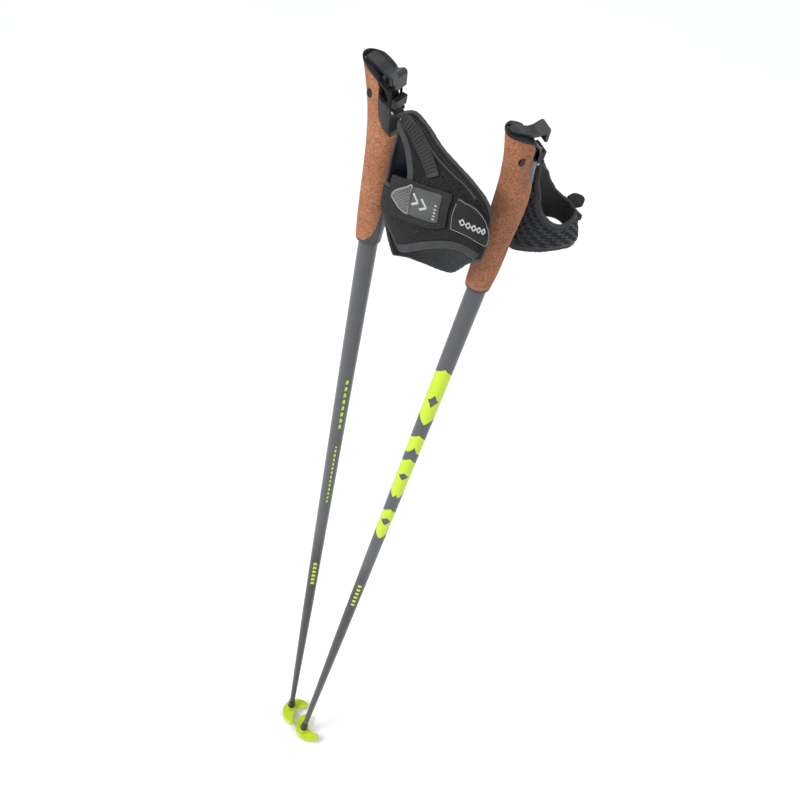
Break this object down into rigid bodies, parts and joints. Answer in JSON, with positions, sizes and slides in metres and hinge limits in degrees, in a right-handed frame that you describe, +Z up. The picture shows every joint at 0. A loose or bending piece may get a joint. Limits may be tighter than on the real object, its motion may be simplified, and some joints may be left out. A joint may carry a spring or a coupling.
{
  "type": "nordic walking pole pair",
  "caption": "Pair of Nordic walking poles: tapered carbon shafts, cork grips with a press-release head, hook-and-loop glove straps and crescent baskets on ferrules with carbide tips.",
  "frame": {"origin": "ground contact of the right-hand pole tip", "axes": "+Z up the right-hand shaft, +X to the rear of the right-hand pole, where its strap hangs, +Y sideways"},
  "size_m": [0.1705, 0.1487, 1.1513],
  "materials": {
    "carbon": "satin lacquered carbon tube",
    "cork": "ground cork composite",
    "black_plastic": "moulded",
    "grey_plastic": "moulded, fine texture",
    "lime_plastic": "glossy",
    "carbide": "ground",
    "steel": "bright",
    "dark_steel": "black coated",
    "webbing": "ribbed woven",
    "glove_fabric": "brushed loop pile",
    "palm_fabric": "embossed scale pattern",
    "tab_fabric": "knitted",
    "badge_fabric": "woven panel with pale stitching",
    "patch_rubber": "moulded patch",
    "mesh_fabric": "open mesh"
  },
  "bodies": {
    "rh_pole": {"rh_shaft": "carbon", "rh_tip_ferrule": "black_plastic", "rh_carbide_tip": "carbide", "rh_basket": "lime_plastic", "rh_grip_bolt": "dark_steel", "rh_grip_nut": "dark_steel", "rh_lever_pin": "steel", "rh_cork_shell": "cork", "rh_head_housing": "black_plastic", "rh_grip_core": "grey_plastic", "rh_lever_spring": "steel", "rh_strap_anchor": "black_plastic", "rh_strap_bar": "steel"},
    "rh_lever": {"rh_release_lever": "grey_plastic"},
    "rh_strap": {"rh_web_strap": "webbing", "rh_glove_back": "glove_fabric", "rh_glove_palm": "palm_fabric", "rh_badge_panel": "badge_fabric"},
    "rh_tab": {"rh_closure_tab": "tab_fabric", "rh_size_patch": "patch_rubber", "rh_mesh_patch": "mesh_fabric"},
    "lh_pole": {"lh_shaft": "carbon", "lh_tip_ferrule": "black_plastic", "lh_carbide_tip": "carbide", "lh_basket": "lime_plastic", "lh_grip_bolt": "dark_steel", "lh_grip_nut": "dark_steel", "lh_lever_pin": "steel", "lh_cork_shell": "cork", "lh_head_housing": "black_plastic", "lh_grip_core": "grey_plastic", "lh_lever_spring": "steel", "lh_strap_anchor": "black_plastic", "lh_strap_bar": "steel"},
    "lh_lever": {"lh_release_lever": "grey_plastic"},
    "lh_strap": {"lh_web_strap": "webbing", "lh_glove_back": "glove_fabric", "lh_glove_palm": "palm_fabric", "lh_badge_panel": "badge_fabric"},
    "lh_tab": {"lh_closure_tab": "tab_fabric", "lh_size_patch": "patch_rubber", "lh_mesh_patch": "mesh_fabric"}
  },
  "joints": [
    {"name": "rh_lever_press", "type": "hinge", "parent": "rh_pole", "child": "rh_lever", "pos_m": [-0.019, 0, 1.1456], "axis": [0, 1, 0], "range_deg": [0, 8], "stiffness_Nm_per_rad": 0.8, "springref_deg": -6.88},
    {"name": "rh_strap_swing", "type": "hinge", "parent": "rh_pole", "child": "rh_strap", "pos_m": [0.0062, 0, 1.1154], "axis": [0, -1, 0], "range_deg": [0, 38]},
    {"name": "rh_tab_peel", "type": "hinge", "parent": "rh_strap", "child": "rh_tab", "pos_m": [0.0856, -0.0302, 1.078], "axis": [0, 0, 1], "range_deg": [0, 100]},
    {"name": "lh_lever_press", "type": "hinge", "parent": "lh_pole", "child": "lh_lever", "pos_m": [0.10291, 0.01648, 1.1432], "axis": [-0.8941, 0.4458, 0.0419], "range_deg": [0, 8], "stiffness_Nm_per_rad": 0.8, "springref_deg": -6.88},
    {"name": "lh_strap_swing", "type": "hinge", "parent": "lh_pole", "child": "lh_strap", "pos_m": [0.11201, 0.03772, 1.11137], "axis": [0.8941, -0.4458, -0.0419], "range_deg": [0, 70]},
    {"name": "lh_tab_peel", "type": "hinge", "parent": "lh_strap", "child": "lh_tab", "pos_m": [0.11514, 0.09636, 1.02698], "axis": [-0.068, -0.0427, -0.9968], "range_deg": [0, 100]},
    {"name": "pole_apart", "type": "slide", "parent": "rh_pole", "child": "lh_pole", "axis": [0, 0, 1], "range_m": [0, 0.15]}
  ]
}
